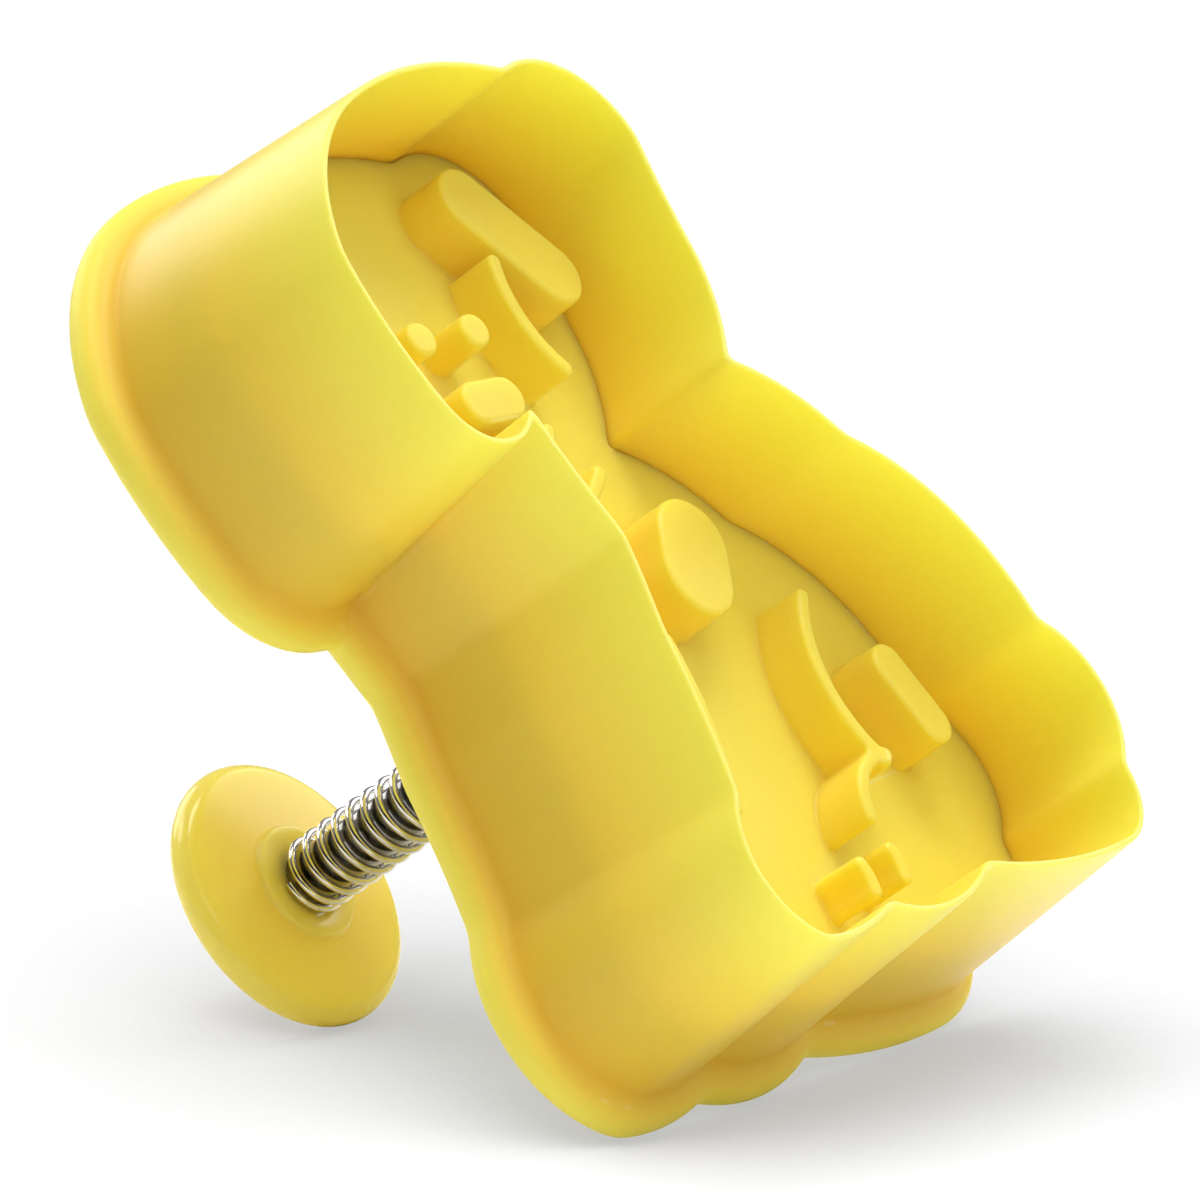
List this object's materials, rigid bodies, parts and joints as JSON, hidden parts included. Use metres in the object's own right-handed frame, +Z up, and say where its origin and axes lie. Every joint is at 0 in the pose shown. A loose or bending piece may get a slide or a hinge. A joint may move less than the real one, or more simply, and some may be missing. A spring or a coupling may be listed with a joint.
{
  "type": "plunger cookie cutter",
  "caption": "Puppy-shaped plastic cookie cutter with a flanged thin wall, an embossing stamp inside, and a spring plunger with a round push knob.",
  "frame": {"origin": "centre of the flange's box, in the plane of the cutting edge, on which the cutter stands", "axes": "+Z up from the cutting edge to the knob, along the plunger; +Y towards the puppy's head; +X towards its nose"},
  "size_m": [0.0732, 0.0832, 0.0563],
  "materials": {
    "yellow_plastic": "semi-gloss moulded",
    "knob_plastic": "semi-gloss moulded",
    "polished_steel": "polished",
    "spring_wire": "bright drawn wire"
  },
  "bodies": {
    "cutter": {"cutter_shell": "yellow_plastic", "return_spring": "spring_wire"},
    "plunger": {"stamp_plate": "yellow_plastic", "plunger_rod": "polished_steel", "push_knob": "knob_plastic"}
  },
  "joints": [
    {"name": "plunger_slide", "type": "slide", "parent": "cutter", "child": "plunger", "axis": [0, 0, -1], "range_m": [0, 0.012], "stiffness_N_per_m": 450, "springref_m": -0.006, "deforming": ["return_spring"]}
  ]
}
